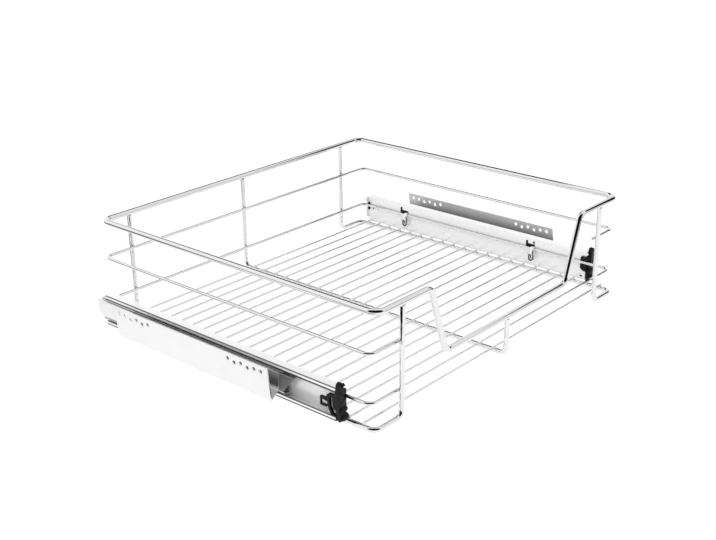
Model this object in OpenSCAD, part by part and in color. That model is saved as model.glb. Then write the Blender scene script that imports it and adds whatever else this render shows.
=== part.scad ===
// Pull-out wire basket for a kitchen base cabinet, carried on two telescopic ball runners.
// X runs across the cabinet, the basket's front is at -Y and Z is up. The basket's
// lowest wires stand on Z = 0, and its middle is at X = 0, Y = 0. Sizes in millimetres.

/* [Cabinet] */
// Clear width between the cabinet's two side panels
cabinet_clear_w = 564; // [556:1:580]

/* [Basket] */
// Width of the rim, between wire centres
rim_w = 477.4; // [460:0.2:482]
// Depth of the basket, between the centres of its front and back wires
basket_d = 437.9; // [425:0.1:470]
// Height of the rim's wire centre above the floor
rim_z = 134.9; // [110:0.1:180]
// Bend radius of the rim's corners and of its dip, at the wire's centre
rim_bend_r = 11; // [8:0.5:16]
// Width of the dip in the front where it leaves the rim
dip_top_w = 301.6; // [262:0.2:340]
// Width of the dip along its bottom
dip_bottom_w = 246; // [200:1:256]
// Height of the wire centre along the dip's bottom
dip_z = 51.4; // [43:0.1:80]
// Height of the upper side ring's wire centre
upper_ring_z = 89.2; // [78:0.1:104]
// Height of the lower side ring's wire centre
lower_ring_z = 32.4; // [31:0.1:35]
// Corner radius of the side rings, at the wire's centre
ring_corner_r = 9; // [6:0.5:14]
// How far the side rings' free ends run past the front posts
ring_overrun = 3.3; // [1:0.1:12]
// Distance between the left and the right posts
post_span = 396.6; // [360:0.2:430]
// Corner radius of the base frames, at the wire's centre
base_corner_r = 9; // [6:0.5:14]
// Distance from the basket's middle to the middle support
support_x = -3; // [-20:1:20]
// Number of floor wires
floor_wire_count = 21; // [17:1:22]
// Distance from one floor wire to the next
floor_wire_pitch = 20.15; // [16:0.05:20.3]
// Place of the rearmost floor wire
floor_rear_y = 199.3; // [180:0.1:205]
// How far each floor wire runs past the base wire that it lies on
floor_wire_overrun = 0.9; // [0:0.1:2]

/* [Wires] */
// Diameter of the rim's wire
rim_wire_d = 7.5; // [6:0.1:8]
// Diameter of the base frames', posts' and middle support's wire
base_wire_d = 6; // [5:0.1:6.5]
// Diameter of the side rings' wire
ring_wire_d = 4; // [3:0.1:4.4]
// Diameter of the floor wires
floor_wire_d = 3; // [2:0.1:4]
// How much thicker a wire is along a bend that isn't square
bend_swell = 0.1; // [0.05:0.05:0.2]

/* [Runner] */
// Depth of a runner, across the cabinet
runner_depth = 12.7; // [12.5:0.1:13.6]
// Height of the carrier rail
carrier_h = 39.7; // [39:0.1:42]
// Length of the carrier rail
carrier_len = 380; // [360:1:384]
// Place of the carrier rail's rear end
carrier_rear_y = 201.9; // [195:0.1:204]
// Gap between the base wires and the carrier rail above them
carrier_gap = 0.7; // [0.3:0.1:1.5]
// Height of the carrier rail's turned lips
carrier_lip_h = 5.7; // [4:0.1:6]
// Sheet thickness of the carrier rail
carrier_t = 1.2; // [1:0.1:1.3]
// Length of the middle rail
middle_len = 312; // [300:1:340]
// Sheet thickness of the middle rail
middle_t = 1; // [0.8:0.1:1.1]
// Height of the middle rail's turned lips
middle_lip_h = 3.5; // [2:0.1:3.8]
// Length of the cabinet rail
cabinet_rail_len = 336.8; // [310:0.1:340]
// Sheet thickness of the cabinet rail
cabinet_rail_t = 1.2; // [1:0.1:1.5]
// Width of the cabinet rail's flanges, its web included
cabinet_flange_w = 7.5; // [6.8:0.1:7.8]
// Length of the slanted front end of the cabinet rail
rail_slant = 17; // [5:1:25]
// Side of the corner cut off at the cabinet rail's lower rear
rail_corner_cut = 8; // [3:1:12]
// Bend radius of the rolled rails, at the middle of the sheet
rail_bend_r = 1.2; // [1:0.1:1.6]
// How far the basket is drawn out of its closed place as it is drawn here
drawn_out = 16; // [0:1:40]

/* [Balls] */
// Diameter of the balls
ball_d = 3.4; // [3.1:0.1:3.6]
// Height of the gap between two raceways
race_gap = 3.4; // [3.2:0.1:3.6]
// Clearance between a ball and its raceway
ball_play = 0.15; // [0.1:0.01:0.3]
// Clearance between a ball and its pocket in the cage
pocket_play = 0.1; // [0.05:0.01:0.2]
// Distance of the balls from the runner's outer plane
ball_inset = 5.2; // [4.8:0.1:5.4]
// Number of balls in each of a cage's two rows
balls_per_row = 6; // [4:1:7]
// Distance from one ball to the next
ball_pitch = 24; // [14:0.1:24]
// Place of the middle of both cages
cage_mid_y = 50; // [35:1:52]
// Length of cage beyond its last ball
cage_end = 5; // [3:0.5:7]
// Sheet thickness of the cages
cage_t = 0.4; // [0.3:0.05:0.5]
// Side clearance between the cages and the rails
run_gap = 0.3; // [0.25:0.01:0.35]

/* [Bracket] */
// Width of the bracket, from the runner to the cabinet's side panel
bracket_w = 23.9; // [20:0.1:26]
// Length of the bracket
bracket_len = 255.8; // [220:0.1:260]
// Height of the bracket's outer plate
bracket_h = 37.3; // [30:0.1:42]
// Height of the bracket's floor above the carrier rail's lower edge
bracket_lift = 9; // [8:0.1:13]
// Sheet thickness of the bracket
bracket_t = 1.5; // [1:0.1:2]
// Bend radius of the bracket, at the middle of the sheet
bracket_bend_r = 1.8; // [1.2:0.1:3]
// How far forward the bracket's lower edge stands of its upper edge
bracket_rake = 5; // [0:0.1:8]
// Distance from the cabinet rail's front end back to the bracket
bracket_setback = 16; // [10:1:30]
// How far the bracket's inner wall stops short of its front end
inner_wall_setback = 7; // [0:0.5:15]
// Diameter of the screw holes
screw_hole_d = 4.8; // [4:0.1:5]
// Distance from one screw hole to the next, along the bracket
screw_pitch = 10.2; // [9:0.1:11]
// Distance from the bracket's end to its nearest screw hole
screw_margin = 9.5; // [7:0.1:14]
// Distance from the bracket's top edge to the upper screw holes
screw_drop = 6.3; // [5:0.1:7]
// Height between the upper and the lower screw holes
screw_step = 2; // [1:0.1:3]

/* [Rivets] */
// Number of rivets between a bracket and its cabinet rail
rivet_count = 3; // [2:1:4]
// Distance from the bracket's ends to the outer rivets
rivet_margin = 34; // [20:1:50]
// Diameter of the rivets' shanks
rivet_d = 5; // [4:0.1:6]
// Diameter of the rivets' heads
rivet_head_d = 8; // [7:0.1:9]
// Thickness of the rivets' heads
rivet_head_h = 1; // [0.6:0.1:1.5]
// Clearance between a rivet's shank and its hole
rivet_play = 0.05; // [0.02:0.01:0.1]

/* [Hooks] */
// Place of the rear hook's tongue
rear_hook_y = 127.5; // [110:0.5:140]
// Place of the front hook's tongue
front_hook_y = -96; // [-110:0.5:-80]
// Width of a hook's tongue
hook_w = 5; // [3:0.5:8]
// Thickness of a hook's tongue
hook_t = 1; // [0.8:0.1:1.2]
// Gap between a hook's tongue and the ring that it holds
hook_gap = 0.1; // [0.05:0.05:0.5]
// Height that a hook's tongue hangs below the ring
hook_drop = 16; // [12:0.5:18]
// How far in front of a tongue's middle its slot starts
hook_slot_lead = 1.6; // [0:0.1:4]
// Length of the slot above a hook
hook_slot_len = 14; // [10:0.5:20]
// Height of the slot's upright end
hook_slot_h = 7; // [4:0.1:8]
// Width of the slot
hook_slot_w = 3; // [1.5:0.1:3.5]
// Diameter of the round boss pressed below each slot
boss_d = 11; // [8:0.5:12]
// Height of the boss
boss_h = 0.9; // [0.5:0.1:1.5]
// Diameter of the fixing hole above the front hook
fixing_hole_d = 4; // [3:0.1:4.2]
// Height of the fixing hole above the lower ring
fixing_hole_rise = 8.6; // [8.4:0.1:9.4]

/* [Front clip] */
// Length of the clip in front of the carrier rail, at its lowest rib
clip_nose = 9; // [7:0.1:14]
// Number of rounded ribs
clip_rib_count = 4; // [2:1:4]
// Distance from one rib to the next
clip_rib_pitch = 8.7; // [6:0.1:9]
// How far the top of the clip's column stands back of its lowest rib
clip_rake = 5.4; // [0:0.1:6]
// Radius of the ribs
clip_rib_r = 4.4; // [4:0.1:5]
// Depth of the grooves between the ribs
clip_groove_d = 2; // [1:0.1:2.2]
// How far the ribs stop short of the clip's sides
clip_rib_inset = 1.5; // [0:0.1:3]
// Length of the clip's finger and leg, in front of the carrier rail
clip_tab_len = 5.2; // [3:0.1:7]
// How far the clip's finger stands above the carrier rail
clip_finger_h = 5.8; // [3:0.1:10]
// Width of the finger, from the cabinet's side
clip_finger_w = 8; // [4:0.5:12]
// How far the clip's leg hangs below the carrier rail
clip_leg_h = 1.5; // [1:0.1:4]
// Width of the leg, from the basket's side
clip_leg_w = 5; // [3:0.5:10]
// Length of the clip's frame inside the carrier rail
clip_frame_len = 13.5; // [10:0.5:18]
// Height of the clip's frame
clip_frame_h = 19; // [16:0.5:24]
// Width of the clip's frame, across the cabinet
clip_frame_w = 3.5; // [2:0.1:6]
// Width of the slit in the frame
clip_slit_w = 2.4; // [1:0.1:4]
// Height of the frame above and below its slit
clip_slit_margin = 3; // [2:0.5:7]
// Length of the clip's prongs behind the frame
clip_prong_len = 9; // [5:0.5:15]
// Height of a prong
clip_prong_h = 2.5; // [2:0.1:4.5]
// Height between the two prongs
clip_prong_gap = 6; // [3:0.1:7]
// Height of the lower prong above the frame's lower edge
clip_prong_rise = 2.2; // [0:0.1:3]
// Thickness of the bar that joins the prongs' ends
clip_bar_t = 1.5; // [1:0.1:3]
// Thickness of the clip's jaws on the basket's side of the rail
clip_jaw_t = 3; // [2:0.1:4]
// Length of the jaws, along the ring that they hold
clip_jaw_len = 12; // [8:0.5:20]
// Height of the upper jaw
clip_upper_jaw_h = 6; // [2:0.5:6]
// Height of the lower jaw
clip_lower_jaw_h = 10; // [6:0.5:14]

/* [Rear clip] */
// Thickness of the rear clip behind the carrier rail
rear_clip_t = 1.2; // [0.8:0.1:4]
// How far the rear clip's nibs reach forward along the rail
rear_nib_len = 1.4; // [1:0.1:6]
// Thickness of the rear clip's nibs
rear_nib_t = 2.2; // [1.5:0.1:4]
// Height of the rear clip's upper nib
rear_upper_nib_h = 2.6; // [2:0.1:6]
// Height of the rear clip's lower nib
rear_lower_nib_h = 4.8; // [4:0.1:10]

/* [Hidden] */
$fn = 48;
through = 1;
clip_gap = 0.1;
// How far one stretch of the front clip runs into the next
clip_root = 1;
// How far a straight stretch of wire runs into a thicker bend beside it
bend_lap = 0.5;

// Places across the cabinet, on the right side
side_panel_x = cabinet_clear_w / 2;
runner_outer_x = side_panel_x - bracket_w;
runner_inner_x = runner_outer_x - runner_depth;
ring_x = runner_inner_x - ring_wire_d / 2;
base_x = runner_inner_x - run_gap - base_wire_d / 2;
post_x = post_span / 2;

// Places along the basket
post_y = basket_d / 2;
ring_y = post_y - (base_wire_d + ring_wire_d) / 2;
carrier_front_y = carrier_rear_y - carrier_len;
middle_rear_y = carrier_rear_y + drawn_out / 2;
cabinet_rail_rear_y = carrier_rear_y + drawn_out;
cabinet_rail_front_y = cabinet_rail_rear_y - cabinet_rail_len;
bracket_front_y = cabinet_rail_front_y + bracket_setback;
bracket_rear_y = bracket_front_y + bracket_len;

// Heights of the wires
base_z = base_wire_d / 2;
post_top_z = rim_z - rim_wire_d / 2;
dip_post_top_z = dip_z - rim_wire_d / 2;
floor_wire_z = base_wire_d + floor_wire_d / 2;

// Heights at which the clips pass over and under the lower ring
ring_over_z = lower_ring_z + ring_wire_d / 2 + clip_gap;
ring_under_z = lower_ring_z - ring_wire_d / 2 - clip_gap;

// Heights of the runner's nested rails
carrier_z = base_wire_d + carrier_gap;
runner_mid_z = carrier_z + carrier_h / 2;
outer_ball_rise = carrier_h / 2 - carrier_t - race_gap / 2;
middle_h = carrier_h - 2 * (carrier_t + race_gap);
inner_ball_rise = middle_h / 2 - middle_t - race_gap / 2;
cabinet_rail_h = middle_h - 2 * (middle_t + race_gap);

// Widths of the runner's nested rails
outer_cage_x = runner_inner_x + carrier_t + run_gap;
middle_x = outer_cage_x + cage_t + run_gap;
inner_cage_x = middle_x + middle_t + run_gap;
carrier_lip_x = runner_outer_x - carrier_t;
middle_lip_x = carrier_lip_x - run_gap - middle_t;
ball_x = runner_outer_x - ball_inset;
cage_len = (balls_per_row - 1) * ball_pitch + ball_d + 2 * cage_end;

// Heights of the bracket
bracket_z = carrier_z + bracket_lift;
bracket_top_z = bracket_z + bracket_h;
inner_wall_top_z = runner_mid_z + cabinet_rail_h / 2;
screw_z = bracket_top_z - screw_drop;
// The screw holes of a group that sit one step lower, counted from the group's outer end
LOW_SCREWS = [2, 4];
SCREWS_PER_GROUP = 6;

RAIL_NODES = [
    "carrier_rail", "front_clip", "rear_clip", "outer_cage", "outer_balls", "middle_rail",
    "inner_cage", "inner_balls", "cabinet_rail", "bracket", "bracket_rivets"
];

// ---- Shapes that repeat ----

function unit(v) = v / norm(v);
function turn(before, after) = acos(unit(before) * unit(after));
function is_square(before, after) = abs(before * after) < 0.000001;

// A straight rod from one point to another
module rod(from, to, d) {
    way = to - from;
    translate(from)
        rotate([0, acos(way.z / norm(way)), atan2(way.y, way.x)])
            cylinder(d = d, h = norm(way));
}

// A bend of round wire at a corner, turning from direction u into direction v
module wire_bend(corner, u, v, d, bend_r) {
    inward = unit(v - (v * u) * u);
    centre = corner - u * bend_r * tan(turn(u, v) / 2) + inward * bend_r;
    side = cross(-inward, u);
    bend_d = d + (is_square(u, v) ? 0 : bend_swell);
    multmatrix([
        [-inward.x, u.x, side.x, centre.x],
        [-inward.y, u.y, side.y, centre.y],
        [-inward.z, u.z, side.z, centre.z],
        [0, 0, 0, 1]
    ])
        rotate_extrude(angle = turn(u, v)) translate([bend_r, 0]) circle(d = bend_d);
}

// A wire along a list of corner points, with the same bend at each corner
module wire(points, d, bend_r, closed = false) {
    n = len(points);
    last = closed ? n - 1 : n - 2;
    function way(i) = unit(points[(i + 1) % n] - points[(i + n) % n]);
    function is_end(i) = !closed && (i == 0 || i == n - 1);
    function before(i) = way((i - 1 + n) % n);
    function lap(i) = is_square(before(i), way(i)) ? 0 : bend_lap;
    function cut(i) = is_end(i) ? 0 : bend_r * tan(turn(before(i), way(i)) / 2) - lap(i);
    for (i = [0:last])
        rod(points[i] + way(i) * cut(i), points[(i + 1) % n] - way(i) * cut((i + 1) % n), d);
    for (i = [closed ? 0 : 1:last])
        wire_bend(points[i], before(i), way(i), d, bend_r);
}

// The outline of a bent sheet, along a list of corner points in the middle of the sheet
module sheet_outline(points, t, bend_r) {
    n = len(points);
    function way(i) = unit(points[i + 1] - points[i]);
    function cut(i) = i == 0 || i == n - 1 ? 0 : bend_r * tan(turn(way(i - 1), way(i)) / 2);
    for (i = [0:n - 2])
        translate(points[i] + way(i) * cut(i))
            rotate(atan2(way(i).y, way(i).x))
                translate([0, -t / 2])
                    square([norm(points[i + 1] - points[i]) - cut(i) - cut(i + 1), t]);
    for (i = [1:n - 2]) {
        side = sign(cross(way(i - 1), way(i)));
        inward = side * [-way(i - 1).y, way(i - 1).x];
        centre = points[i] - way(i - 1) * cut(i) + inward * bend_r;
        translate(centre) ring_quarter(-inward, way(i - 1), t, bend_r);
    }
}

// A quarter of a flat ring that reaches from direction u to direction v
module ring_quarter(u, v, t, bend_r) {
    reach = bend_r + t;
    intersection() {
        difference() {
            circle(r = bend_r + t / 2);
            circle(r = bend_r - t / 2);
        }
        polygon([[0, 0], u * reach, (u + v) * reach, v * reach]);
    }
}

// Stands an X-Z outline up and draws it along Y, from a rear end towards the front
module along_y(rear_y, length) {
    translate([0, rear_y, 0]) rotate([90, 0, 0]) linear_extrude(length) children();
}

// Stands a Y-Z outline up and draws it along X, from an inner end outwards
module along_x(x, width) {
    translate([x, 0, 0]) rotate([90, 0, 90]) linear_extrude(width) children();
}

// Draws its children, made for the right side, on the side that is named
module on_side(side) {
    mirror([side == "left" ? 1 : 0, 0, 0]) children();
}

// Places its children at each ball of a cage: along both rows, above and below
module at_each_ball(rise) {
    first_y = cage_mid_y - (balls_per_row - 1) * ball_pitch / 2;
    for (i = [0:balls_per_row - 1], way = [-1, 1])
        translate([ball_x, first_y + i * ball_pitch, runner_mid_z + way * rise]) children();
}

// The two grooves that the balls of a row run in, over a rail's whole length
module ball_grooves(rise, rear_y, length) {
    for (way = [-1, 1])
        translate([ball_x, rear_y + through, runner_mid_z + way * rise])
            rotate([90, 0, 0])
                cylinder(d = ball_d + 2 * ball_play, h = length + 2 * through);
}

// ---- The welded basket ----

module rim_wire() {
    x = rim_w / 2;
    y = basket_d / 2;
    color("gainsboro") wire([
        [-dip_top_w / 2, -y, rim_z], [-x, -y, rim_z], [-x, y, rim_z],
        [x, y, rim_z], [x, -y, rim_z], [dip_top_w / 2, -y, rim_z],
        [dip_bottom_w / 2, -y, dip_z], [-dip_bottom_w / 2, -y, dip_z]
    ], rim_wire_d, rim_bend_r, closed = true);
}

module side_ring(z) {
    end_x = post_x - ring_overrun;
    color("gainsboro") wire([
        [-end_x, -ring_y, z], [-ring_x, -ring_y, z], [-ring_x, ring_y, z],
        [ring_x, ring_y, z], [ring_x, -ring_y, z], [end_x, -ring_y, z]
    ], ring_wire_d, ring_corner_r);
}

module base_frame(side) {
    color("gainsboro") on_side(side) wire([
        [post_x, -post_y, post_top_z], [post_x, -post_y, base_z], [base_x, -post_y, base_z],
        [base_x, post_y, base_z], [post_x, post_y, base_z], [post_x, post_y, post_top_z]
    ], base_wire_d, base_corner_r);
}

module middle_support() {
    color("gainsboro") wire([
        [support_x, -post_y, dip_post_top_z], [support_x, -post_y, base_z],
        [support_x, post_y, base_z], [support_x, post_y, post_top_z]
    ], base_wire_d, base_corner_r);
}

module floor_wire(i) {
    half = base_x + floor_wire_overrun;
    y = floor_rear_y - (i - 1) * floor_wire_pitch;
    color("gainsboro") rod([-half, y, floor_wire_z], [half, y, floor_wire_z], floor_wire_d);
}

// ---- The carrier rail, fixed to the basket ----

// A C-shaped rail that opens towards the cabinet, drawn as an outline
module c_outline(web_x, lip_x, height, lip_h, t) {
    x0 = web_x + t / 2;
    x1 = lip_x + t / 2;
    low = runner_mid_z - height / 2;
    high = runner_mid_z + height / 2;
    sheet_outline([
        [x1, low + lip_h], [x1, low + t / 2], [x0, low + t / 2],
        [x0, high - t / 2], [x1, high - t / 2], [x1, high - lip_h]
    ], t, rail_bend_r);
}

// The tongue that passes over the lower ring and hangs down on its inner side
module hook_tongue(y) {
    over_z = lower_ring_z + ring_wire_d / 2 + hook_gap + hook_t / 2;
    inner_x = ring_x - ring_wire_d / 2 - hook_gap - hook_t / 2;
    root_x = runner_inner_x + carrier_t / 2;
    foot_z = lower_ring_z - hook_drop;
    along_y(y + hook_w / 2, hook_w)
        sheet_outline([
            [root_x, over_z], [inner_x, over_z], [inner_x, foot_z], [root_x, foot_z]
        ], hook_t, hook_t);
}

// The L-shaped slot that the tongue was pressed out of
module hook_slot(y) {
    front_y = y - hook_slot_lead;
    upright_y = front_y + hook_slot_len - hook_slot_w;
    slot_z = lower_ring_z + ring_wire_d / 2 + hook_gap + hook_t;
    translate([runner_inner_x - through, front_y, slot_z])
        cube([carrier_t + 2 * through, hook_slot_len, hook_slot_w]);
    translate([runner_inner_x - through, upright_y, slot_z])
        cube([carrier_t + 2 * through, hook_slot_w, hook_slot_h]);
}

// The shallow round boss that stiffens the web below the slot's upright end
module web_boss(y) {
    boss_y = y - hook_slot_lead + hook_slot_len;
    boss_z = lower_ring_z - hook_drop + boss_d / 4;
    translate([runner_inner_x, boss_y, boss_z]) rotate([0, -90, 0]) {
        translate([0, 0, -carrier_t / 2]) cylinder(d = boss_d, h = carrier_t / 2);
        cylinder(d1 = boss_d, d2 = boss_d - 2 * boss_h, h = boss_h);
    }
}

module carrier_rail(side) {
    hooks = [rear_hook_y, front_hook_y];
    color("silver") on_side(side) {
        difference() {
            along_y(carrier_rear_y, carrier_len)
                c_outline(runner_inner_x, carrier_lip_x, carrier_h, carrier_lip_h, carrier_t);
            ball_grooves(outer_ball_rise, carrier_rear_y, carrier_len);
            for (y = hooks) hook_slot(y);
            translate([runner_inner_x - through, front_hook_y, lower_ring_z + fixing_hole_rise])
                rotate([0, 90, 0])
                    cylinder(d = fixing_hole_d, h = carrier_t + 2 * through);
        }
        for (y = hooks) {
            hook_tongue(y);
            web_boss(y);
        }
    }
}

// A jaw beside the ring, rooted in the clip's column in front of the rail
module clip_jaw(z, height) {
    front_y = carrier_front_y - clip_tab_len;
    jaw_x = runner_inner_x - clip_jaw_t;
    translate([0, 0, z]) linear_extrude(height) polygon([
        [jaw_x, front_y], [runner_inner_x + clip_root, front_y],
        [runner_inner_x + clip_root, carrier_front_y], [runner_inner_x, carrier_front_y],
        [runner_inner_x, front_y + clip_jaw_len], [jaw_x, front_y + clip_jaw_len]
    ]);
}

// The column in front of the rail, with its ribs on a raked line
module clip_column() {
    low_z = carrier_z + clip_rib_r;
    top_z = ring_over_z + clip_upper_jaw_h;
    front_y = carrier_front_y - clip_nose;
    body_y = front_y + clip_groove_d;
    function raked(z) = clip_rake * (z - low_z) / (top_z - low_z);
    along_x(runner_inner_x, runner_depth) polygon([
        [carrier_front_y, carrier_z], [body_y, carrier_z], [body_y, low_z],
        [body_y + raked(top_z), top_z], [carrier_front_y, top_z]
    ]);
    along_x(runner_inner_x + clip_rib_inset, runner_depth - 2 * clip_rib_inset)
        intersection() {
            for (i = [0:clip_rib_count - 1])
                translate([front_y + clip_rib_r + raked(low_z + i * clip_rib_pitch),
                           low_z + i * clip_rib_pitch])
                    circle(r = clip_rib_r);
            translate([front_y, carrier_z]) square([clip_nose, carrier_h]);
        }
}

// The finger with its domed top, and the leg at the basket's side
module clip_tabs() {
    tab_y = carrier_front_y - clip_tab_len;
    root_z = carrier_z + clip_rib_r;
    finger_r = clip_finger_w / 2;
    finger_x = runner_outer_x - finger_r;
    top_z = carrier_z + carrier_h + clip_finger_h;
    along_y(carrier_front_y, clip_tab_len) {
        translate([finger_x, top_z - finger_r]) circle(r = finger_r);
        translate([finger_x - finger_r, root_z])
            square([clip_finger_w, top_z - finger_r - root_z]);
    }
    translate([runner_inner_x, tab_y, carrier_z - clip_leg_h])
        cube([clip_leg_w, clip_tab_len, root_z - carrier_z + clip_leg_h]);
}

// The slit frame inside the rail, with the loop of two prongs behind it
module clip_frame() {
    frame_z = runner_mid_z - clip_frame_h / 2;
    frame_x = runner_outer_x - carrier_t / 2 - clip_frame_w;
    loop_z = frame_z + clip_prong_rise;
    loop_y = carrier_front_y + clip_frame_len;
    difference() {
        translate([frame_x, carrier_front_y - clip_root, frame_z])
            cube([clip_frame_w, clip_frame_len + clip_root, clip_frame_h]);
        translate([frame_x - through, carrier_front_y + (clip_frame_len - clip_slit_w) / 2,
                   frame_z + clip_slit_margin])
            cube([clip_frame_w + 2 * through, clip_slit_w, clip_frame_h - 2 * clip_slit_margin]);
    }
    difference() {
        translate([frame_x, loop_y - clip_root, loop_z])
            cube([clip_frame_w, clip_prong_len + clip_root, 2 * clip_prong_h + clip_prong_gap]);
        translate([frame_x - through, loop_y, loop_z + clip_prong_h])
            cube([clip_frame_w + 2 * through, clip_prong_len - clip_bar_t, clip_prong_gap]);
    }
}

module front_clip(side) {
    color("dimgray") on_side(side) {
        clip_column();
        clip_tabs();
        clip_frame();
        clip_jaw(ring_over_z, clip_upper_jaw_h);
        clip_jaw(ring_under_z - clip_lower_jaw_h, clip_lower_jaw_h);
    }
}

// A nib beside the ring, with the stretch that holds it behind the rail's web
module rear_nib(z, height) {
    nib_x = runner_inner_x - rear_nib_t;
    back_y = carrier_rear_y + rear_clip_t;
    translate([0, 0, z]) linear_extrude(height) polygon([
        [nib_x, carrier_rear_y - rear_nib_len], [runner_inner_x, carrier_rear_y - rear_nib_len],
        [runner_inner_x, carrier_rear_y], [runner_inner_x + carrier_t, carrier_rear_y],
        [runner_inner_x + carrier_t, back_y], [nib_x, back_y]
    ]);
}

module rear_clip(side) {
    low_z = ring_under_z - rear_lower_nib_h;
    high_z = ring_over_z + rear_upper_nib_h;
    color("dimgray") on_side(side) {
        translate([runner_inner_x + clip_gap, carrier_rear_y, low_z])
            cube([carrier_t - clip_gap, rear_clip_t, high_z - low_z]);
        rear_nib(ring_over_z, rear_upper_nib_h);
        rear_nib(low_z, rear_lower_nib_h);
    }
}

// ---- The moving parts of the runner ----

// A ball cage: a thin strip in both race gaps, joined by a web
module ball_cage(web_x, end_x, rise) {
    rear_y = cage_mid_y + cage_len / 2;
    x0 = web_x + cage_t / 2;
    difference() {
        along_y(rear_y, cage_len)
            sheet_outline([
                [end_x, runner_mid_z - rise], [x0, runner_mid_z - rise],
                [x0, runner_mid_z + rise], [end_x, runner_mid_z + rise]
            ], cage_t, rail_bend_r);
        at_each_ball(rise)
            cylinder(d = ball_d + 2 * pocket_play, h = 2 * cage_t, center = true);
    }
}

module outer_cage(side) {
    color("darkgoldenrod") on_side(side)
        ball_cage(outer_cage_x, carrier_lip_x - 2 * run_gap, outer_ball_rise);
}

module inner_cage(side) {
    color("darkgoldenrod") on_side(side)
        ball_cage(inner_cage_x, middle_lip_x - run_gap, inner_ball_rise);
}

module outer_balls(side) {
    color("lightslategray") on_side(side) at_each_ball(outer_ball_rise) sphere(d = ball_d);
}

module inner_balls(side) {
    color("lightslategray") on_side(side) at_each_ball(inner_ball_rise) sphere(d = ball_d);
}

module middle_rail(side) {
    color("silver") on_side(side) difference() {
        along_y(middle_rear_y, middle_len)
            c_outline(middle_x, middle_lip_x, middle_h, middle_lip_h, middle_t);
        ball_grooves(outer_ball_rise, middle_rear_y, middle_len);
        ball_grooves(inner_ball_rise, middle_rear_y, middle_len);
    }
}

// Places its children at each rivet, on the runner's outer plane
module at_each_rivet() {
    first_y = bracket_front_y + rivet_margin;
    step = (bracket_len - 2 * rivet_margin) / (rivet_count - 1);
    rivet_z = (bracket_z + inner_wall_top_z) / 2;
    for (i = [0:rivet_count - 1])
        translate([runner_outer_x, first_y + i * step, rivet_z]) rotate([0, 90, 0]) children();
}

module rivet_holes() {
    at_each_rivet()
        cylinder(d = rivet_d + 2 * rivet_play, h = 2 * (bracket_t + cabinet_rail_t), center = true);
}

module cabinet_rail(side) {
    x_flange = runner_outer_x - cabinet_flange_w;
    x_web = runner_outer_x - cabinet_rail_t / 2;
    low = runner_mid_z - cabinet_rail_h / 2;
    high = runner_mid_z + cabinet_rail_h / 2;
    color("silver") on_side(side) difference() {
        along_y(cabinet_rail_rear_y, cabinet_rail_len)
            sheet_outline([
                [x_flange, low + cabinet_rail_t / 2], [x_web, low + cabinet_rail_t / 2],
                [x_web, high - cabinet_rail_t / 2], [x_flange, high - cabinet_rail_t / 2]
            ], cabinet_rail_t, rail_bend_r);
        ball_grooves(inner_ball_rise, cabinet_rail_rear_y, cabinet_rail_len);
        rivet_holes();
        // The slanted front end, and the corner cut off at the lower rear
        along_x(x_flange - through, cabinet_flange_w + 2 * through) {
            polygon([
                [cabinet_rail_front_y, high], [cabinet_rail_front_y - through, high],
                [cabinet_rail_front_y - through, low - through],
                [cabinet_rail_front_y + rail_slant, low - through],
                [cabinet_rail_front_y + rail_slant, low]
            ]);
            polygon([
                [cabinet_rail_rear_y - rail_corner_cut, low],
                [cabinet_rail_rear_y - rail_corner_cut, low - through],
                [cabinet_rail_rear_y + through, low - through],
                [cabinet_rail_rear_y + through, low + rail_corner_cut],
                [cabinet_rail_rear_y, low + rail_corner_cut]
            ]);
        }
    }
}

// The heights of a group's screw holes, counted from the group's outer end
function screw_height(i) = screw_z - (len(search(i, LOW_SCREWS)) > 0 ? screw_step : 0);

module screw_holes() {
    for (i = [0:SCREWS_PER_GROUP - 1]) {
        from_end = screw_margin + i * screw_pitch;
        for (y = [bracket_rear_y - from_end, bracket_front_y + from_end])
            translate([side_panel_x - bracket_t - through, y, screw_height(i)])
                rotate([0, 90, 0])
                    cylinder(d = screw_hole_d, h = bracket_t + 2 * through);
    }
}

module bracket(side) {
    x_wall = runner_outer_x + bracket_t / 2;
    x_plate = side_panel_x - bracket_t / 2;
    floor_z = bracket_z + bracket_t / 2;
    low_front_y = bracket_front_y - bracket_rake;
    color("silver") on_side(side) difference() {
        along_y(bracket_rear_y, bracket_len + bracket_rake)
            sheet_outline([
                [x_wall, inner_wall_top_z], [x_wall, floor_z],
                [x_plate, floor_z], [x_plate, bracket_top_z]
            ], bracket_t, bracket_bend_r);
        screw_holes();
        rivet_holes();
        // Both ends are raked: the lower edge stands forward of the upper edge
        along_x(runner_outer_x - through, bracket_w + 2 * through) {
            polygon([
                [low_front_y - through, bracket_z], [low_front_y, bracket_z],
                [bracket_front_y, bracket_top_z], [bracket_front_y, bracket_top_z + through],
                [low_front_y - through, bracket_top_z + through]
            ]);
            polygon([
                [bracket_rear_y + through, bracket_top_z], [bracket_rear_y, bracket_top_z],
                [bracket_rear_y - bracket_rake, bracket_z],
                [bracket_rear_y - bracket_rake, bracket_z - through],
                [bracket_rear_y + through, bracket_z - through]
            ]);
        }
        // The floor's front edge slants back to the shorter inner wall
        translate([0, 0, bracket_z - through]) linear_extrude(bracket_h) polygon([
            [runner_outer_x - through, low_front_y - through],
            [side_panel_x - bracket_t, low_front_y - through],
            [side_panel_x - bracket_t, low_front_y],
            [runner_outer_x + bracket_t, bracket_front_y + inner_wall_setback],
            [runner_outer_x - through, bracket_front_y + inner_wall_setback]
        ]);
    }
}

module bracket_rivets(side) {
    color("lightgray") on_side(side) at_each_rivet() {
        translate([0, 0, -cabinet_rail_t]) cylinder(d = rivet_d, h = cabinet_rail_t + bracket_t);
        translate([0, 0, bracket_t])
            cylinder(d1 = rivet_head_d, d2 = rivet_head_d - rivet_head_h, h = rivet_head_h);
        translate([0, 0, -cabinet_rail_t - rivet_head_h])
            cylinder(d = rivet_head_d, h = rivet_head_h);
    }
}

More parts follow.
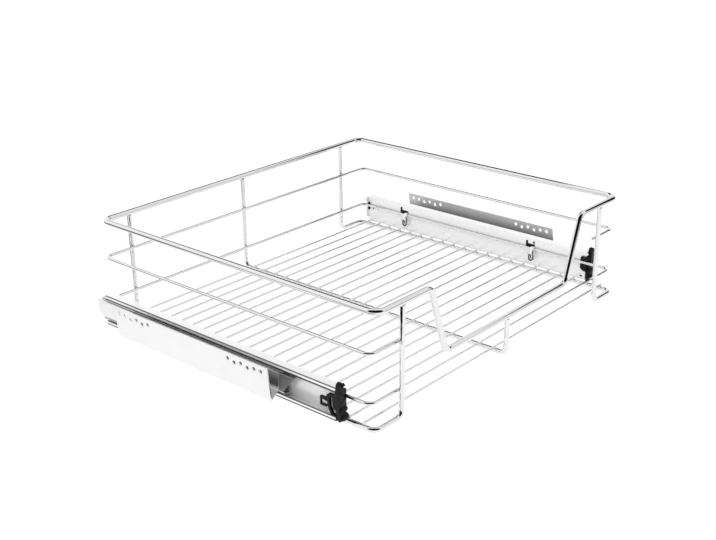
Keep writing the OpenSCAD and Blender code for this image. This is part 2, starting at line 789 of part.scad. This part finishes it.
rim_wire();
side_ring(upper_ring_z);  // upper_side_ring
side_ring(lower_ring_z);  // lower_side_ring
base_frame("left");  // left_base_frame
base_frame("right");  // right_base_frame
middle_support();
for (i = [1:floor_wire_count])
    floor_wire(i);
for (side = ["left", "right"]) {
    carrier_rail(side);
    front_clip(side);
    rear_clip(side);
    outer_cage(side);
    outer_balls(side);
    middle_rail(side);
    inner_cage(side);
    inner_balls(side);
    cabinet_rail(side);
    bracket(side);
    bracket_rivets(side);
}
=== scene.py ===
"""A pull-out wire basket on two telescopic runners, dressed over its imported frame."""
import math
import bmesh
import bpy
from mathutils import Matrix, Vector


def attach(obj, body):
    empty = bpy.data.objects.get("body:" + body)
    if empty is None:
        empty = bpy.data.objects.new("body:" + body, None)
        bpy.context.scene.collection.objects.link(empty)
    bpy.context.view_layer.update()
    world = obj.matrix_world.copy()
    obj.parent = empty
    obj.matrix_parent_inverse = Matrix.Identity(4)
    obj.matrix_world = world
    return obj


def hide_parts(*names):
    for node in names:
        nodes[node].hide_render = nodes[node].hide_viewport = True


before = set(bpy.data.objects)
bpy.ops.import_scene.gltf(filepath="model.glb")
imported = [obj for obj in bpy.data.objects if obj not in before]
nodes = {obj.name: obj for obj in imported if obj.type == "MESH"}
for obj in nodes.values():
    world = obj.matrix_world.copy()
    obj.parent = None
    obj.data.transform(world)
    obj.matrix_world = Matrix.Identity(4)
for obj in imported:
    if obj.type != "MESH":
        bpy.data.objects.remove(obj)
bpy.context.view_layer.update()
MM = 0.001


# ---- Studio: a white table top in a white room ----
# The table is white acrylic, and darkens past the basket at the back left and front right.
# Black cards and the dark room behind the camera give the chrome its dark lines.

def linear(hex_colour):
    """An sRGB hex colour as linear red, green, blue and alpha."""
    parts = [int(hex_colour[i:i + 2], 16) / 255 for i in (1, 3, 5)]
    return [c / 12.92 if c <= 0.04045 else ((c + 0.055) / 1.055) ** 2.4 for c in parts] + [1]


def add_node(tree, kind, values=None, links=None, **settings):
    """Adds a shader node, sets its properties and sockets, and links its inputs."""
    node = tree.nodes.new(kind)
    for name, value in settings.items():
        setattr(node, name, value)
    for socket, value in (values or {}).items():
        node.inputs[socket].default_value = value
    for socket, source in (links or {}).items():
        tree.links.new(source, node.inputs[socket])
    return node


def new_material(name):
    """An empty node material, with its tree."""
    material = bpy.data.materials.new(name)
    material.use_nodes = True
    material.node_tree.nodes.clear()
    return material, material.node_tree


def mesh_object(name, bm, *materials):
    """Turns a finished bmesh into an object at the origin."""
    mesh = bpy.data.meshes.new(name)
    bm.to_mesh(mesh)
    bm.free()
    piece = bpy.data.objects.new(name, mesh)
    bpy.context.scene.collection.objects.link(piece)
    for material in materials:
        mesh.materials.append(material)
    return piece


def sheet(name, width, length, place, turn, material):
    """A flat stage sheet, turned and then put in its place."""
    bm = bmesh.new()
    bmesh.ops.create_grid(bm, x_segments=1, y_segments=1, size=0.5)
    bmesh.ops.scale(bm, vec=(width, length, 1), verts=bm.verts)
    bmesh.ops.rotate(bm, matrix=turn, verts=bm.verts)
    bmesh.ops.translate(bm, vec=place, verts=bm.verts)
    piece = mesh_object(name, bm, material)
    return piece


def smooth_step(tree, value, low, high):
    """A smooth rise from 0 at low to 1 at high, which may be the lower number."""
    start, end, at_start, at_end = (low, high, 0.0, 1.0) if low < high else (high, low, 1.0, 0.0)
    step = add_node(tree, "ShaderNodeMapRange",
                    {"From Min": start, "From Max": end, "To Min": at_start, "To Max": at_end},
                    {"Value": value}, interpolation_type="SMOOTHSTEP")
    return step.outputs[0]


def multiply(tree, *values):
    """The product of two or more outputs."""
    result = values[0]
    for value in values[1:]:
        result = add_node(tree, "ShaderNodeMath", links={0: result, 1: value},
                          operation="MULTIPLY").outputs[0]
    return result


def mixed(tree, factor, start, end):
    """A number that goes from start to end with the factor; each may be an output."""
    given = {"Factor": factor, "A": start, "B": end}
    values = {name: value for name, value in given.items() if isinstance(value, float)}
    links = {name: value for name, value in given.items() if not isinstance(value, float)}
    return add_node(tree, "ShaderNodeMix", values, links, data_type="FLOAT").outputs[0]


world = bpy.data.worlds.new("white room")
bpy.context.scene.world = world
world.use_nodes = True
tree = world.node_tree
tree.nodes.clear()
ray = add_node(tree, "ShaderNodeLightPath").outputs
way = add_node(tree, "ShaderNodeTexCoord").outputs["Generated"]
room_light = 0.95
dark_patches = [  # azimuth, elevation, inner and outer radius in degrees, brightness
    (-142, 25, 50, 66, 0.005),
    (-30, 20, 30, 80, 0.86),
]
room = None
for azimuth, elevation, inner, outer, dark in dark_patches:
    level = math.cos(math.radians(elevation))
    patch_way = Vector((level * math.cos(math.radians(azimuth)), level * math.sin(math.radians(azimuth)),
                        math.sin(math.radians(elevation))))
    near = add_node(tree, "ShaderNodeVectorMath", {1: patch_way}, {0: way}, operation="DOT_PRODUCT")
    patch = smooth_step(tree, near.outputs["Value"],
                        math.cos(math.radians(outer)), math.cos(math.radians(inner)))
    part = mixed(tree, patch, 1.0, dark)
    room = part if room is None else multiply(tree, room, part)
glossy = mixed(tree, ray["Is Glossy Ray"], room_light, room)
seen = mixed(tree, ray["Is Camera Ray"], glossy, 1.0)
back = add_node(tree, "ShaderNodeBackground", {"Color": linear("#FFFFFF")}, {"Strength": seen})
add_node(tree, "ShaderNodeOutputWorld", links={"Surface": back.outputs[0]})

table_top, tree = new_material("white acrylic table")
ray = add_node(tree, "ShaderNodeLightPath").outputs
place = add_node(tree, "ShaderNodeTexCoord").outputs["Object"]
split = add_node(tree, "ShaderNodeSeparateXYZ", links={"Vector": place}).outputs
table_light = 0.95
table_white = 0.86
shadow_keep = 0.16
dark_ends = [  # where the table darkens in X and in Y, from full white to full dark
    ((-0.30, -0.36), (0.19, 0.34), 0.03),
    ((0.14, 0.24), (-0.52, -0.68), 0.05),
]
table = None
for (x_white, x_dark), (y_white, y_dark), dark in dark_ends:
    corner = multiply(tree, smooth_step(tree, split["X"], x_white, x_dark),
                      smooth_step(tree, split["Y"], y_white, y_dark))
    part = mixed(tree, corner, 1.0, dark)
    table = part if table is None else multiply(tree, table, part)
table = add_node(tree, "ShaderNodeMath", {1: table_white}, {0: table},
                 operation="MULTIPLY").outputs[0]
glossy = mixed(tree, ray["Is Glossy Ray"], table_light, table)
seen = mixed(tree, ray["Is Camera Ray"], glossy, 1 - shadow_keep / 2)
glow = add_node(tree, "ShaderNodeEmission", {"Color": linear("#FFFFFF")}, {"Strength": seen})
matt = add_node(tree, "ShaderNodeBsdfDiffuse", {"Color": [shadow_keep] * 3 + [1]})
both = add_node(tree, "ShaderNodeAddShader", links={0: glow.outputs[0], 1: matt.outputs[0]})
add_node(tree, "ShaderNodeOutputMaterial", links={"Surface": both.outputs[0]})
flat, upright = Matrix.Identity(3), Matrix.Rotation(math.radians(90), 3, "Y")
sheet("floor", 30, 30, (0, 0, 0), flat, table_top)

black_card, tree = new_material("black card")
felt = add_node(tree, "ShaderNodeBsdfDiffuse", {"Color": linear("#0B0B0C")})
add_node(tree, "ShaderNodeOutputMaterial", links={"Surface": felt.outputs[0]})
cards = [  # name, width, length, middle, turn
    ("left_card", 0.18, 0.46, (-0.47, -0.21, 0.001), flat),
    ("side_card", 0.95, 0.54, (1.2, -0.59, 0.52), upright),
    ("ceiling_card", 1.6, 1.2, (0.8, 1.1, 1.3), flat),
]
for name, width, length, middle, turn in cards:
    card = sheet(name, width, length, middle, turn, black_card)
    card.visible_camera = False
    card.visible_diffuse = False
    card.visible_shadow = False

lamps = [  # name, middle, size in metres, power in watts
    ("overhead softbox", (-0.5, -0.4, 1.6), 1.2, 6),
    ("fill softbox", (1.3, -0.9, 1.1), 1.0, 3),
]
for name, middle, size, power in lamps:
    lamp = bpy.data.lights.new(name, "AREA")
    lamp.size = size
    lamp.energy = power
    holder = bpy.data.objects.new(name, lamp)
    holder.location = middle
    holder.rotation_euler = (-Vector(middle)).to_track_quat("-Z", "Y").to_euler()
    holder.visible_glossy = False
    bpy.context.scene.collection.objects.link(holder)

camera = bpy.data.objects.new("camera", bpy.data.cameras.new("camera"))
bpy.context.scene.collection.objects.link(camera)
camera.data.sensor_width = 36
camera.data.lens = 58.053
camera_place = (-1.04124, -0.89252, 0.60376)
heading, looking_down, roll = -48.981, 21.919, -0.529
camera.matrix_world = (
    Matrix.Translation(camera_place)
    @ Matrix.Rotation(math.radians(heading), 4, "Z")
    @ Matrix.Rotation(math.radians(90 - looking_down), 4, "X")
    @ Matrix.Rotation(math.radians(roll), 4, "Z")
)
bpy.context.scene.camera = camera
bpy.context.scene.view_settings.view_transform = "Standard"


# ---- Chrome wires: rim, side rings, base frames, middle support and floor ----
# Drawn steel wire, bent cold, resistance welded at every crossing and chrome plated.
# The plate is mirror bright, with a faint haze and the shallow waves of drawn wire.

def dress(names, material):
    """Gives CAD nodes their finish."""
    for name in names:
        mesh = nodes[name].data
        mesh.materials.clear()
        mesh.materials.append(material)


chrome, tree = new_material("chrome plate on drawn wire")
place = add_node(tree, "ShaderNodeTexCoord").outputs["Object"]
haze = add_node(tree, "ShaderNodeTexNoise", {"Scale": 1 / (18 * MM), "Detail": 4.0}, {"Vector": place})
rough = add_node(tree, "ShaderNodeMapRange",
                 {"From Min": 0.35, "From Max": 0.65, "To Min": 0.03, "To Max": 0.08},
                 {"Value": haze.outputs[0]})
tint = add_node(tree, "ShaderNodeMix", {"A": linear("#F1F1F1"), "B": linear("#E8E8E8")},
                {"Factor": haze.outputs[0]}, data_type="RGBA")
waves = add_node(tree, "ShaderNodeTexNoise", {"Scale": 1 / (6 * MM), "Detail": 1.0}, {"Vector": place})
bump = add_node(tree, "ShaderNodeBump", {"Strength": 0.12, "Distance": 0.05 * MM},
                {"Height": waves.outputs[0]})
skin = add_node(tree, "ShaderNodeBsdfPrincipled", {"Metallic": 1.0},
                {"Base Color": tint.outputs["Result"], "Roughness": rough.outputs[0],
                 "Normal": bump.outputs[0]})
add_node(tree, "ShaderNodeOutputMaterial", links={"Surface": skin.outputs[0]})

dress(["rim_wire", "upper_side_ring", "lower_side_ring"], chrome)
dress(["left_base_frame", "right_base_frame", "middle_support"], chrome)
dress([name for name in nodes if name.startswith("floor_wire")], chrome)


# ---- Weld nuggets ----
# Where two wires cross, resistance welding presses one into the other and leaves a small
# swell of melted steel on both sides of the joint, plated over with the wires.

def add_nugget(bm, middle, size):
    """Adds one swell, by its middle and its full size in millimetres."""
    made = bmesh.ops.create_icosphere(bm, subdivisions=2, radius=0.5)
    bmesh.ops.scale(bm, vec=Vector(size) * MM, verts=made["verts"])
    bmesh.ops.translate(bm, vec=Vector(middle) * MM, verts=made["verts"])


def smooth(bm):
    """Shades every face of a mesh smooth."""
    for face in bm.faces:
        face.smooth = True


floor_wire_count, floor_wire_rear, floor_wire_pitch = 21, 199.3, 20.15
base_x, support_x = 242.1, -3.0
post_x, post_y, ring_y = 198.3, 218.95, 213.95
ring_heights = (89.2, 32.4)
floor_joint_z, rim_joint_z = 6.05, 131.0
ring_joint_y = (ring_y + post_y) / 2 - 0.45
floor_swell, ring_swell, rim_swell = (3.6, 3.6, 1.2), (5.6, 1.6, 5.2), (7.2, 7.2, 2.4)
bm = bmesh.new()
for i in range(floor_wire_count):
    for x in (-base_x, support_x, base_x):
        add_nugget(bm, (x, floor_wire_rear - floor_wire_pitch * i, floor_joint_z), floor_swell)
for y in (-1, 1):
    for x in (-post_x, post_x):
        for z in ring_heights:
            add_nugget(bm, (x, y * ring_joint_y, z), ring_swell)
        add_nugget(bm, (x, y * post_y, rim_joint_z), rim_swell)
smooth(bm)
nuggets = mesh_object("weld_nuggets", bm, chrome)
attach(nuggets, "basket")


# ---- Carrier rails ----
# Cold rolled steel strip, roll formed and then zinc plated bright, so it is nearly white.
# Rolling lines run along the strip, and the folds are painted darker: painted shade.

def band(tree, value, rise, full, fall, end):
    """Rises from 0 to 1 between rise and full, and falls to 0 between fall and end."""
    return multiply(tree, smooth_step(tree, value, rise * MM, full * MM),
                    smooth_step(tree, value, end * MM, fall * MM))


def zinc_plate(name, pale, deep, metal, fold, fold_dark, shade_marks=()):
    """Zinc plate over strip that runs along Y, with painted shade in folds narrower than fold.

    A mark is a zone of painted shade: its bands in X from the middle, in Y and in Z, and its shade.
    """
    material, tree = new_material(name)
    place = add_node(tree, "ShaderNodeTexCoord").outputs["Object"]
    along = add_node(tree, "ShaderNodeMapping", {"Scale": (1 / (4 * MM), 1 / (150 * MM), 1 / (4 * MM))},
                     {"Vector": place})
    lines = add_node(tree, "ShaderNodeTexNoise", {"Scale": 1.0, "Detail": 2.0}, {"Vector": along.outputs[0]})
    cloud = add_node(tree, "ShaderNodeTexNoise", {"Scale": 1 / (30 * MM), "Detail": 3.0}, {"Vector": place})
    patch = mixed(tree, 0.35, cloud.outputs[0], lines.outputs[0])
    plate = add_node(tree, "ShaderNodeMix", {"A": linear(pale), "B": linear(deep)}, {"Factor": patch},
                     data_type="RGBA")
    closed = add_node(tree, "ShaderNodeAmbientOcclusion", {"Distance": fold}, samples=8)
    shade = add_node(tree, "ShaderNodeMapRange",
                     {"From Min": 0.15, "From Max": 0.65, "To Min": fold_dark, "To Max": 1.0},
                     {"Value": closed.outputs["AO"]}).outputs[0]
    split = add_node(tree, "ShaderNodeSeparateXYZ", links={"Vector": place}).outputs
    out = add_node(tree, "ShaderNodeMath", links={0: split["X"]}, operation="ABSOLUTE").outputs[0]
    for x_band, y_band, z_band, dark in shade_marks:
        zone = multiply(tree, band(tree, out, *x_band), band(tree, split["Y"], *y_band),
                        band(tree, split["Z"], *z_band))
        shade = multiply(tree, shade, mixed(tree, zone, 1.0, dark))
    shaded_plate = add_node(tree, "ShaderNodeVectorMath", links={0: plate.outputs["Result"], "Scale": shade},
                     operation="SCALE")
    rough = mixed(tree, cloud.outputs[0], 0.20, 0.32)
    bump = add_node(tree, "ShaderNodeBump", {"Strength": 0.05, "Distance": 0.02 * MM},
                    {"Height": lines.outputs[0]})
    skin = add_node(tree, "ShaderNodeBsdfPrincipled", {"Metallic": metal},
                    {"Base Color": shaded_plate.outputs[0], "Roughness": rough, "Normal": bump.outputs[0]})
    add_node(tree, "ShaderNodeOutputMaterial", links={"Surface": skin.outputs[0]})
    return material


sides = (("left", -1), ("right", 1))
# Painted shade: thin dark lines along the lips' bends and free edges, and along the lower bend.
lip, lower_bend = (256.5, 256.7, 259.0, 259.2), (254.4, 254.8, 259.0, 259.2)
whole_length = (-301, -300, 300, 301)
lip_shade_marks = [
    (lip, whole_length, (45.0, 45.3, 46.1, 46.4), 0.12),
    (lip, whole_length, (39.6, 40.0, 42.6, 43.0), 0.06),
    (lip, whole_length, (11.2, 11.5, 13.0, 13.3), 0.10),
    (lower_bend, whole_length, (5.7, 6.0, 9.0, 9.4), 0.04),
]
# Painted shade darkens folds narrower than 1.5 mm, and the lip lines.
bright_zinc = zinc_plate("bright zinc on roll formed strip", "#FBFBFB", "#F3F3F3",
                         0.2, 1.5 * MM, 0.15, lip_shade_marks)
dress([f"{side}_carrier_rail" for side, _ in sides], bright_zinc)


# ---- Screw brackets ----
# Steel plate folded to a trough and zinc plated bright. It is riveted to the cabinet rail.
# Inside the trough the plate is painted darker from the mouth down, and its folds are painted darker: painted
# shade.

trough, below_mouth = (258.2, 258.6, 281.6, 281.8), (18, 22, 25, 50)
trough_zinc = zinc_plate("bright zinc on folded plate", "#F6F6F6", "#EDEDED",
                         0.4, 5 * MM, 0.4, [(trough, whole_length, below_mouth, 0.13)])
dress([f"{side}_bracket" for side, _ in sides], trough_zinc)


# ---- Front clips ----
# Each is one injection moulding in black acetal, pushed over the carrier rail's front end.
# Ribs give the fingers a grip, two jaws hold the lower side ring, and a sprung loop locks it.

acetal, tree = new_material("moulded black acetal")
place = add_node(tree, "ShaderNodeTexCoord").outputs["Object"]
grain = add_node(tree, "ShaderNodeTexNoise", {"Scale": 1 / (0.5 * MM), "Detail": 2.0}, {"Vector": place})
flow = add_node(tree, "ShaderNodeTexNoise", {"Scale": 1 / (5 * MM), "Detail": 2.0}, {"Vector": place})
tint = add_node(tree, "ShaderNodeMix", {"A": linear("#09090A"), "B": linear("#1B1B1C")},
                {"Factor": flow.outputs[0]}, data_type="RGBA")
rough = mixed(tree, flow.outputs[0], 0.30, 0.55)
bump = add_node(tree, "ShaderNodeBump", {"Strength": 0.25, "Distance": 0.05 * MM},
                {"Height": grain.outputs[0]})
skin = add_node(tree, "ShaderNodeBsdfPrincipled", {"IOR": 1.48, "Specular IOR Level": 0.2},
                {"Base Color": tint.outputs["Result"], "Roughness": rough, "Normal": bump.outputs[0]})
add_node(tree, "ShaderNodeOutputMaterial", links={"Surface": skin.outputs[0]})


def join(bm, part):
    """Moves one finished shape into the piece that it belongs to."""
    mesh = bpy.data.meshes.new("part")
    part.to_mesh(mesh)
    part.free()
    bm.from_mesh(mesh)
    bpy.data.meshes.remove(mesh)


def add_plate(bm, outline, depth, soft):
    """Adds an outline of points pushed along a vector, in millimetres, its edges softened."""
    part = bmesh.new()
    face = part.faces.new([part.verts.new(Vector(point) * MM) for point in outline])
    grown = bmesh.ops.extrude_face_region(part, geom=[face])["geom"]
    bmesh.ops.translate(part, vec=Vector(depth) * MM,
                        verts=[item for item in grown if isinstance(item, bmesh.types.BMVert)])
    bmesh.ops.recalc_face_normals(part, faces=part.faces)
    bmesh.ops.bevel(part, geom=part.edges[:], offset=soft * MM, segments=2, profile=0.5,
                    affect="EDGES", material=-1)
    join(bm, part)


def side_plate(bm, outline, x_from, x_to, soft=0.35):
    """Adds a plate cut to an outline of (y, z) points, from one X to another."""
    add_plate(bm, [(x_from, y, z) for y, z in outline], (x_to - x_from, 0, 0), soft)


def add_rib(bm, y, z, radius, x_from, x_to, crown):
    """Adds a rib across the clip: a barrel, thinner at both ends by crown."""
    part = bmesh.new()
    half = (x_to - x_from) / 2
    bmesh.ops.create_cone(part, cap_ends=True, segments=20, radius1=radius * MM, radius2=radius * MM,
                          depth=2 * half * MM, matrix=Matrix.Rotation(math.radians(90), 4, "Y"))
    long_edges = [edge for edge in part.edges
                  if abs(edge.verts[0].co.x - edge.verts[1].co.x) > half * MM]
    bmesh.ops.subdivide_edges(part, edges=long_edges, cuts=5, use_grid_fill=True)
    for vert in part.verts:
        narrow = 1 - crown / radius * (vert.co.x / (half * MM)) ** 2
        vert.co.y *= narrow
        vert.co.z *= narrow
    bmesh.ops.translate(part, vec=Vector(((x_from + x_to) / 2, y, z)) * MM, verts=part.verts)
    smooth(part)
    join(bm, part)


def mirror(bm, sign):
    """Puts a shape that was made for the right side on the side with this sign of X."""
    bmesh.ops.scale(bm, vec=(sign, 1, 1), verts=bm.verts)
    bmesh.ops.recalc_face_normals(bm, faces=bm.faces)


rail_front, rail_low = -178.1, 6.7
web_x, outer_x = 245.4, 258.0
rib_radius, rib_pitch, rib_rake = 4.4, 8.7, 1.35
column_top, column_front = 40.5, -185.1

for side, sign in sides:
    bm = bmesh.new()
    # The column, leaning back as it rises, and the ribs across it
    side_plate(bm, [(rail_front, 15), (rail_front - 3, 9.5), (rail_front - 3, rail_low + 0.6),
                    (column_front + 1, rail_low + 0.6), (column_front, 11.1),
                    (column_front + 4.6, column_top), (rail_front, column_top)], 247.2, outer_x - 0.6)
    for i in range(4):
        add_rib(bm, column_front + 2.2 + rib_rake * i, rail_low + rib_radius + rib_pitch * i,
                rib_radius - 0.2 * i, 245.2 + 0.6 * i, 256.4 + 0.4 * i, 0.9)
    # The finger with its domed head and the beak in front of it
    finger = [(250.2, 15), (257.8, 15), (257.8, 47.5)]
    finger += [(254 + 3.8 * math.cos(turn), 48.2 + 3.8 * math.sin(turn))
               for turn in (math.radians(15 * step) for step in range(1, 12))]
    finger.append((250.2, 47.5))
    add_plate(bm, [(x, rail_front - 0.2, z) for x, z in finger], (0, -5.2, 0), 0.7)
    side_plate(bm, [(-182.6, 50.9), (-185.4, 48.9), (-185.2, 48.0), (-182.6, 45.8)], 249.6, 254.2)
    # The leg at the basket's side, below the lowest rib
    side_plate(bm, [(rail_front - 1.2, 13), (rail_front - 1.2, 5.8), (rail_front - 2.2, 5.2),
                    (rail_front - 5.2, 5.2), (rail_front - 5.6, 13)], web_x, 250.2)
    # The jaws over and under the side ring; the upper one ends in a small hook
    side_plate(bm, [(-180.2, 34.5), (-172.6, 34.5), (-171.3, 33.9), (-171.3, 38.2), (-172.4, 40.5),
                    (-180.2, 40.5)], 242.4, 249.0)
    side_plate(bm, [(-180.2, 20.3), (-176.0, 20.3), (-171.3, 23.6), (-171.3, 30.3), (-180.2, 30.3)],
               242.4, 249.0)
    # The slit frame inside the rail: its rear half, the bar in front of the slit, and the
    # strut that runs along the rail's lower lip, with an opening above it
    side_plate(bm, [(-179, 36.5), (-168, 36.5), (-165, 33.6), (-167, 20), (-171.5, 12.5), (-173.6, 14.5),
                    (-170.4, 20), (-169.0, 32.6), (-172.6, 33.2), (-179, 33.2)], 254, 257.5, 0.3)
    side_plate(bm, [(-179, 33.8), (-172.2, 33.8), (-174.6, 19.4), (-179, 19.4)], 254, 257.5, 0.3)
    side_plate(bm, [(-171, 15), (-172.5, 11.2), (-181, 8.2), (-181, 12.6)], 254, 257.5, 0.3)
    # The sprung loop behind the frame: two prongs and a thin bar between their ends
    side_plate(bm, [(-165, 30), (-155.7, 30), (-155.7, 27.6), (-165, 26.1)], 254.2, 257.3, 0.3)
    side_plate(bm, [(-165, 19.3), (-155.7, 19.3), (-155.7, 21.3), (-165, 21.3)], 254.2, 257.3, 0.3)
    side_plate(bm, [(-157.1, 19.6), (-155.7, 19.6), (-155.7, 29.7), (-157.1, 29.7)], 254.4, 257.1, 0.3)
    # The tail of the locking peg, seen on the basket's side of the rail
    side_plate(bm, [(-174.2, 10.9), (-170.9, 10.9), (-170.9, 12.6), (-174.2, 12.6)], 244.7, 247, 0.25)
    mirror(bm, sign)
    clip = mesh_object(f"{side}_moulded_clip", bm, acetal)
    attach(clip, "basket")
    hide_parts(f"{side}_front_clip")


# ---- Rear clips ----
# A thin plug of the same black acetal over the carrier rail's rear end, with two nibs by the
# side ring, and a peg through the rail's web that locks it.

dress([f"{side}_rear_clip" for side, _ in sides], acetal)
for side, sign in sides:
    bm = bmesh.new()
    side_plate(bm, [(192.4, 27.0), (194.2, 27.0), (194.2, 29.8), (192.4, 29.8)], 244.6, 246.75, 0.3)
    mirror(bm, sign)
    peg = mesh_object(f"{side}_rear_peg", bm, acetal)
    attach(peg, "basket")


# ---- Slot shade liners ----
# A black acetal liner fills the L shaped slot over each of the carrier rail's hooks.
# It is a dark piece that stands in for the shade inside the slot: painted shade.

hooks_y = (127.5, -96.0)
slot_outline = [(-2.1, 33.7), (12.9, 33.7), (12.9, 42.0), (9.3, 42.0), (9.3, 37.3), (-2.1, 37.3)]
for side, sign in sides:
    bm = bmesh.new()
    for hook_y in hooks_y:
        side_plate(bm, [(hook_y + y, z) for y, z in slot_outline], 245.2, 246.5, 0.15)
    mirror(bm, sign)
    shade_liners = mesh_object(f"{side}_slot_shade_liners", bm, acetal)
    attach(shade_liners, "basket")


# ---- Hook shade curls ----
# A thin curled rod of the same black acetal lies on each hook's tongue.
# It is a dark piece that stands in for the shade along the tongue's curl: painted shade.

def add_curl(bm, points, radius, corners=8, steps=4):
    """Adds a round rod along a smooth curve through the points, in millimetres."""
    points = [Vector(point) for point in points]
    curve = []
    for i in range(len(points) - 1):
        before, start = points[max(i - 1, 0)], points[i]
        end, after = points[i + 1], points[min(i + 2, len(points) - 1)]
        for t in (step / steps for step in range(steps)):
            bend = 2 * before - 5 * start + 4 * end - after
            twist = 3 * start - before - 3 * end + after
            curve.append(0.5 * (2 * start + t * (end - before) + t ** 2 * bend + t ** 3 * twist))
    curve.append(points[-1])
    part = bmesh.new()
    across = Vector((1, 0, 0))
    rings = []
    for i, middle in enumerate(curve):
        ahead = curve[min(i + 1, len(curve) - 1)] - curve[max(i - 1, 0)]
        up = ahead.cross(across).normalized()
        turns = [2 * math.pi * corner / corners for corner in range(corners)]
        rings.append([part.verts.new((middle + radius * (math.cos(turn) * across + math.sin(turn) * up)) * MM)
                      for turn in turns])
    for first, second in zip(rings, rings[1:]):
        for corner in range(corners):
            beside = (corner + 1) % corners
            part.faces.new((first[corner], first[beside], second[beside], second[corner]))
    part.faces.new(rings[0])
    part.faces.new(rings[-1])
    bmesh.ops.recalc_face_normals(part, faces=part.faces)
    smooth(part)
    join(bm, part)


shade_curl_x, shade_curl_radius = 239.8, 0.8
shade_curl_path = [(-2.2, 31.5), (-2.4, 25), (-2.5, 20.5), (-0.3, 16.6), (2.9, 17.2),
               (4.2, 20.8), (3.3, 24.2), (1.5, 23.6), (1.1, 20)]
for side, sign in sides:
    bm = bmesh.new()
    for hook_y in hooks_y:
        add_curl(bm, [(shade_curl_x, hook_y + y, z) for y, z in shade_curl_path], shade_curl_radius)
    mirror(bm, sign)
    shade_curls = mesh_object(f"{side}_hook_shade_curls", bm, acetal)
    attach(shade_curls, "basket")


# ---- Ball cages ----
# Thin mild steel strip, pressed and punched with a pocket for each ball, and oiled.
# It is darker than the zinc, with a patchy film of oil.

cage_steel, tree = new_material("oiled pressed strip")
place = add_node(tree, "ShaderNodeTexCoord").outputs["Object"]
film = add_node(tree, "ShaderNodeTexNoise", {"Scale": 1 / (9 * MM), "Detail": 4.0}, {"Vector": place})
tint = add_node(tree, "ShaderNodeMix", {"A": linear("#B4B3AF"), "B": linear("#8B8983")},
                {"Factor": film.outputs[0]}, data_type="RGBA")
rough = mixed(tree, film.outputs[0], 0.22, 0.42)
bump = add_node(tree, "ShaderNodeBump", {"Strength": 0.1, "Distance": 0.02 * MM},
                {"Height": film.outputs[0]})
skin = add_node(tree, "ShaderNodeBsdfPrincipled", {"Metallic": 1.0},
                {"Base Color": tint.outputs["Result"], "Roughness": rough, "Normal": bump.outputs[0]})
add_node(tree, "ShaderNodeOutputMaterial", links={"Surface": skin.outputs[0]})
dress([f"{side}_{part}_cage" for side, _ in sides for part in ("outer", "inner")], cage_steel)


# ---- Balls ----
# Hardened chrome steel, ground and lapped, so they are as smooth as a mirror.
# A trace of grease leaves a faint haze.

ball_steel, tree = new_material("lapped bearing steel")
place = add_node(tree, "ShaderNodeTexCoord").outputs["Object"]
grease = add_node(tree, "ShaderNodeTexNoise", {"Scale": 1 / (2 * MM), "Detail": 2.0}, {"Vector": place})
tint = add_node(tree, "ShaderNodeMix", {"A": linear("#E4E4E6"), "B": linear("#C9C9CB")},
                {"Factor": grease.outputs[0]}, data_type="RGBA")
rough = mixed(tree, grease.outputs[0], 0.04, 0.12)
skin = add_node(tree, "ShaderNodeBsdfPrincipled", {"Metallic": 1.0},
                {"Base Color": tint.outputs["Result"], "Roughness": rough})
add_node(tree, "ShaderNodeOutputMaterial", links={"Surface": skin.outputs[0]})
dress([f"{side}_{part}_balls" for side, _ in sides for part in ("outer", "inner")], ball_steel)


# ---- Middle rails ----
# The same strip, barrel plated after the races are rolled, so it is greyer and less bright.
# The balls polish the races, and the folds are painted darker: painted shade.

dull_zinc = zinc_plate("dull zinc on rolled races", "#DCDCDC", "#C6C6C6", 0.7, 5 * MM, 0.15)
dress([f"{side}_middle_rail" for side, _ in sides], dull_zinc)


# ---- Cabinet rails ----
# The same strip again, plated nearly as bright as the carrier rail.
# The front end, where the balls turn back, is painted grey for the bracket's shade, and the folds are painted
# darker: painted shade.

whole_depth, whole_height = (250, 250.3, 259, 259.2), (15, 15.5, 38, 38.5)
shaded_front_end = (-121, -120, -100, -80)
cabinet_zinc = zinc_plate("zinc on the cabinet rail", "#F4F4F4", "#E8E8E8",
                          0.4, 2.5 * MM, 0.2, [(whole_depth, shaded_front_end, whole_height, 0.25)])
dress([f"{side}_cabinet_rail" for side, _ in sides], cabinet_zinc)


# ---- Rivets ----
# Mild steel rivets, headed cold and zinc plated; the punch leaves their heads slightly matt.

rivet_zinc, tree = new_material("zinc on cold headed rivets")
place = add_node(tree, "ShaderNodeTexCoord").outputs["Object"]
punch = add_node(tree, "ShaderNodeTexNoise", {"Scale": 1 / (1.2 * MM), "Detail": 3.0}, {"Vector": place})
tint = add_node(tree, "ShaderNodeMix", {"A": linear("#E2E2E2"), "B": linear("#C4C4C4")},
                {"Factor": punch.outputs[0]}, data_type="RGBA")
rough = mixed(tree, punch.outputs[0], 0.28, 0.45)
bump = add_node(tree, "ShaderNodeBump", {"Strength": 0.2, "Distance": 0.05 * MM},
                {"Height": punch.outputs[0]})
skin = add_node(tree, "ShaderNodeBsdfPrincipled", {"Metallic": 1.0},
                {"Base Color": tint.outputs["Result"], "Roughness": rough, "Normal": bump.outputs[0]})
add_node(tree, "ShaderNodeOutputMaterial", links={"Surface": skin.outputs[0]})
dress([f"{side}_bracket_rivets" for side, _ in sides], rivet_zinc)
